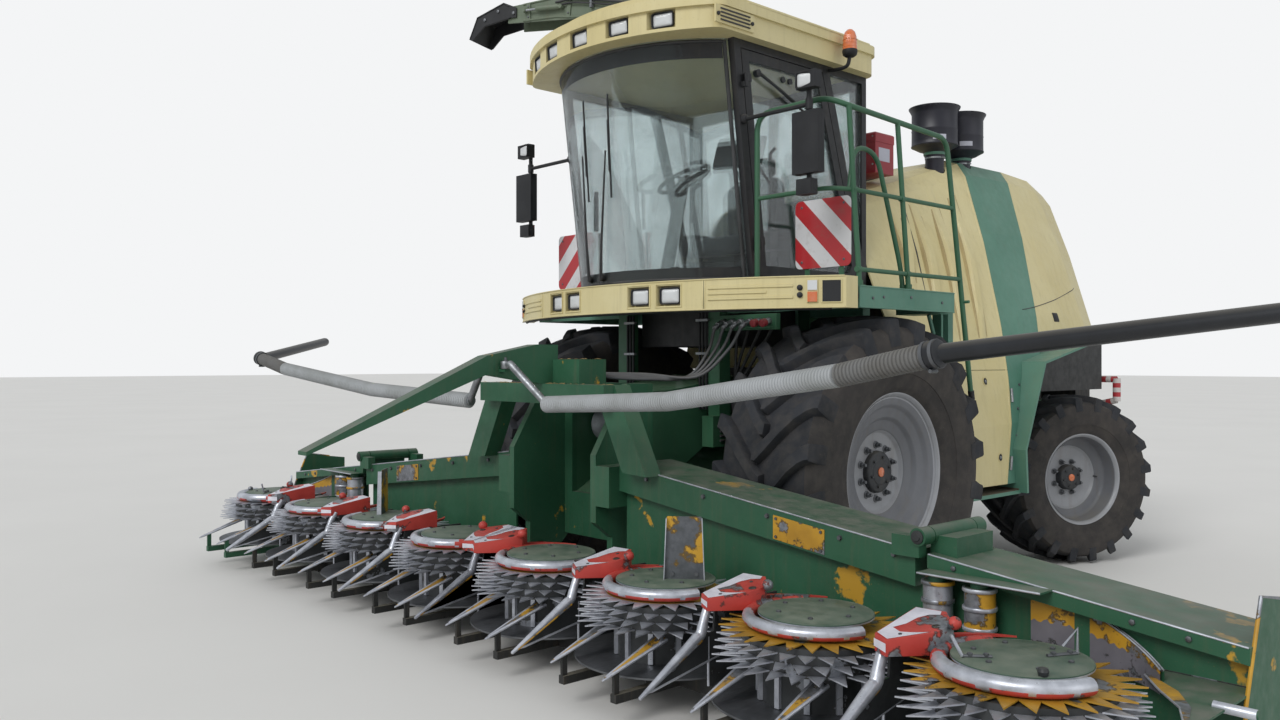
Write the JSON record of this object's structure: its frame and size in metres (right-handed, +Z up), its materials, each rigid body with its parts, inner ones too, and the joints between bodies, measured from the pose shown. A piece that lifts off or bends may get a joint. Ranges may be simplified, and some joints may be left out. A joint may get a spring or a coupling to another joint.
{
  "type": "forage harvester",
  "caption": "Self-propelled forage harvester with a raised glazed cab, swivelling spout, steered rear wheels and a folding row-independent maize header.",
  "frame": {"origin": "on the ground, under the centre of the whole machine's box", "axes": "+X to the machine's left, +Y to its rear, +Z up"},
  "size_m": [8, 7.61, 5.025],
  "materials": {
    "body_cream": "satin, dusty",
    "body_green": "faded satin",
    "header_green": "satin, dusty on top",
    "header_red": "worn",
    "rotor_yellow": "worn to bare steel",
    "dark_metal": "matt, oily",
    "black_cab": "satin",
    "black_plastic": "matt",
    "cab_glass": "tinted",
    "lamp_plastic": "clear lens",
    "seat_fabric": "woven",
    "amber_plastic": "clear",
    "warning_paint": "red and white stripes",
    "box_red": "gloss",
    "tyre": "dusty",
    "rim_silver": "satin",
    "roller_steel": "worn",
    "bar_silver": "satin"
  },
  "bodies": {
    "chassis": {"frame": "body_green", "front_axle": "body_green", "rear_axle": "body_green", "engine": "dark_metal", "chopper_housing": "dark_metal", "cab_floor": "black_cab", "cab_frame": "black_cab", "cab_glass": "cab_glass", "cab_roof": "body_cream", "seat": "seat_fabric", "steering_column": "black_cab", "light_bar": "body_cream", "lamps": "lamp_plastic", "platforms": "body_green", "handrails": "body_green", "warning_plates": "warning_paint", "mirrors": "black_cab", "beacon": "amber_plastic", "side_panels": "body_cream", "hood_band": "body_green", "rear_hood": "body_cream", "rear_fenders": "body_green", "air_intakes": "black_plastic", "tool_box": "box_red", "rear_bumper": "dark_metal"},
    "cab_door": {"door": "black_cab", "door_glass": "cab_glass"},
    "wheel_front_left": {"tyre_front_left": "tyre", "rim_front_left": "rim_silver"},
    "wheel_front_right": {"tyre_front_right": "tyre", "rim_front_right": "rim_silver"},
    "wheel_rear_left": {"tyre_rear_left": "tyre", "rim_rear_left": "rim_silver"},
    "wheel_rear_right": {"tyre_rear_right": "tyre", "rim_rear_right": "rim_silver"},
    "swivel_left": {"knuckle_left": "dark_metal"},
    "swivel_right": {"knuckle_right": "dark_metal"},
    "spout_base": {"spout_turret": "body_green"},
    "spout": {"spout_arm": "body_green"},
    "spout_end": {"spout_flap": "black_plastic"},
    "header": {"intake_house": "body_green", "header_frame": "header_green", "header_floor": "dark_metal", "header_dividers": "header_red"},
    "roller": {"feed_roller": "roller_steel"},
    "wing_l": {"wing_left": "header_green"},
    "wing_r": {"wing_right": "header_green"},
    "bar_l": {"crop_bar_left": "bar_silver"},
    "bar_r": {"crop_bar_right": "bar_silver"},
    "drum_1": {"rotor_1": "rotor_yellow"},
    "drum_2": {"rotor_2": "rotor_yellow"},
    "drum_3": {"rotor_3": "rotor_yellow"},
    "drum_4": {"rotor_4": "rotor_yellow"},
    "drum_5": {"rotor_5": "rotor_yellow"},
    "drum_6": {"rotor_6": "rotor_yellow"},
    "drum_7": {"rotor_7": "rotor_yellow"},
    "drum_8": {"rotor_8": "rotor_yellow"}
  },
  "joints": [
    {"name": "door_hinge", "type": "hinge", "parent": "chassis", "child": "cab_door", "pos_m": [0.874, -1.21739, 2.35], "axis": [0, 0.1273, -0.9919], "range_deg": [0, 32]},
    {"name": "front_left_spin", "type": "hinge", "parent": "chassis", "child": "wheel_front_left", "pos_m": [1.21, -0.695, 0.97], "axis": [1, 0, 0], "continuous": true},
    {"name": "front_right_spin", "type": "hinge", "parent": "chassis", "child": "wheel_front_right", "pos_m": [-1.21, -0.695, 0.97], "axis": [1, 0, 0], "continuous": true},
    {"name": "steer_left", "type": "hinge", "parent": "chassis", "child": "swivel_left", "pos_m": [0.8, 2.505, 0.69], "axis": [0, 0, 1], "range_deg": [-4, 52]},
    {"name": "steer_right", "type": "hinge", "parent": "chassis", "child": "swivel_right", "pos_m": [-0.8, 2.505, 0.69], "axis": [0, 0, 1], "range_deg": [-4, 52]},
    {"name": "rear_left_spin", "type": "hinge", "parent": "swivel_left", "child": "wheel_rear_left", "pos_m": [1.10147, 2.37078, 0.69], "axis": [0.9135, -0.4067, 0], "continuous": true},
    {"name": "rear_right_spin", "type": "hinge", "parent": "swivel_right", "child": "wheel_rear_right", "pos_m": [-1.10147, 2.63922, 0.69], "axis": [0.9135, -0.4067, 0], "continuous": true},
    {"name": "spout_slew", "type": "hinge", "parent": "chassis", "child": "spout_base", "pos_m": [0, 0.805, 3.13], "axis": [0, 0, 1], "range_deg": [-225, 5]},
    {"name": "spout_lift", "type": "hinge", "parent": "spout_base", "child": "spout", "pos_m": [0, 0.805, 3.58], "axis": [-0.3746, 0.9272, 0], "range_deg": [-12, 12]},
    {"name": "flap_tilt", "type": "hinge", "parent": "spout", "child": "spout_end", "pos_m": [-2.85573, -0.34879, 4.91], "axis": [-0.3746, 0.9272, 0], "range_deg": [-40, 30]},
    {"name": "header_lift", "type": "hinge", "parent": "chassis", "child": "header", "pos_m": [0, -0.695, 1.4], "axis": [-1, 0, 0], "range_deg": [-1, 18]},
    {"name": "feed_spin", "type": "hinge", "parent": "header", "child": "roller", "pos_m": [0, -1.515, 1.23], "axis": [1, 0, 0], "continuous": true},
    {"name": "wing_left_fold", "type": "hinge", "parent": "header", "child": "wing_l", "pos_m": [2.6, -1.9005, 0.885], "axis": [0, -1, 0], "range_deg": [0, 100]},
    {"name": "wing_right_fold", "type": "hinge", "parent": "header", "child": "wing_r", "pos_m": [-2.6, -1.9005, 0.885], "axis": [0, 1, 0], "range_deg": [0, 100]},
    {"name": "bar_left_swing", "type": "hinge", "parent": "header", "child": "bar_l", "pos_m": [0.09, -2.595, 1.63], "axis": [0, 0, -1], "range_deg": [0, 70]},
    {"name": "bar_right_swing", "type": "hinge", "parent": "header", "child": "bar_r", "pos_m": [-0.09, -2.595, 1.63], "axis": [0, 0, 1], "range_deg": [0, 70]},
    {"name": "rotor_1_spin", "type": "hinge", "parent": "wing_r", "child": "drum_1", "pos_m": [-3.28125, -2.545, 0.3], "axis": [0, 0, 1], "continuous": true},
    {"name": "rotor_2_spin", "type": "hinge", "parent": "header", "child": "drum_2", "pos_m": [-2.34375, -2.545, 0.3], "axis": [0, 0, 1], "continuous": true},
    {"name": "rotor_3_spin", "type": "hinge", "parent": "header", "child": "drum_3", "pos_m": [-1.40625, -2.545, 0.3], "axis": [0, 0, 1], "continuous": true},
    {"name": "rotor_4_spin", "type": "hinge", "parent": "header", "child": "drum_4", "pos_m": [-0.46875, -2.545, 0.3], "axis": [0, 0, 1], "continuous": true},
    {"name": "rotor_5_spin", "type": "hinge", "parent": "header", "child": "drum_5", "pos_m": [0.46875, -2.545, 0.3], "axis": [0, 0, 1], "continuous": true},
    {"name": "rotor_6_spin", "type": "hinge", "parent": "header", "child": "drum_6", "pos_m": [1.40625, -2.545, 0.3], "axis": [0, 0, 1], "continuous": true},
    {"name": "rotor_7_spin", "type": "hinge", "parent": "header", "child": "drum_7", "pos_m": [2.34375, -2.545, 0.3], "axis": [0, 0, 1], "continuous": true},
    {"name": "rotor_8_spin", "type": "hinge", "parent": "wing_l", "child": "drum_8", "pos_m": [3.28125, -2.545, 0.3], "axis": [0, 0, 1], "continuous": true}
  ],
  "couplings": [
    {"joint": "steer_right", "follows": "steer_left", "ratio": 1},
    {"joint": "bar_left_swing", "follows": "wing_left_fold", "ratio": 0.7},
    {"joint": "bar_right_swing", "follows": "wing_right_fold", "ratio": 0.7},
    {"joint": "rotor_1_spin", "follows": "rotor_4_spin", "ratio": -1},
    {"joint": "rotor_2_spin", "follows": "rotor_4_spin", "ratio": 1},
    {"joint": "rotor_3_spin", "follows": "rotor_4_spin", "ratio": -1},
    {"joint": "rotor_5_spin", "follows": "rotor_4_spin", "ratio": -1},
    {"joint": "rotor_6_spin", "follows": "rotor_4_spin", "ratio": 1},
    {"joint": "rotor_7_spin", "follows": "rotor_4_spin", "ratio": -1},
    {"joint": "rotor_8_spin", "follows": "rotor_4_spin", "ratio": 1}
  ]
}
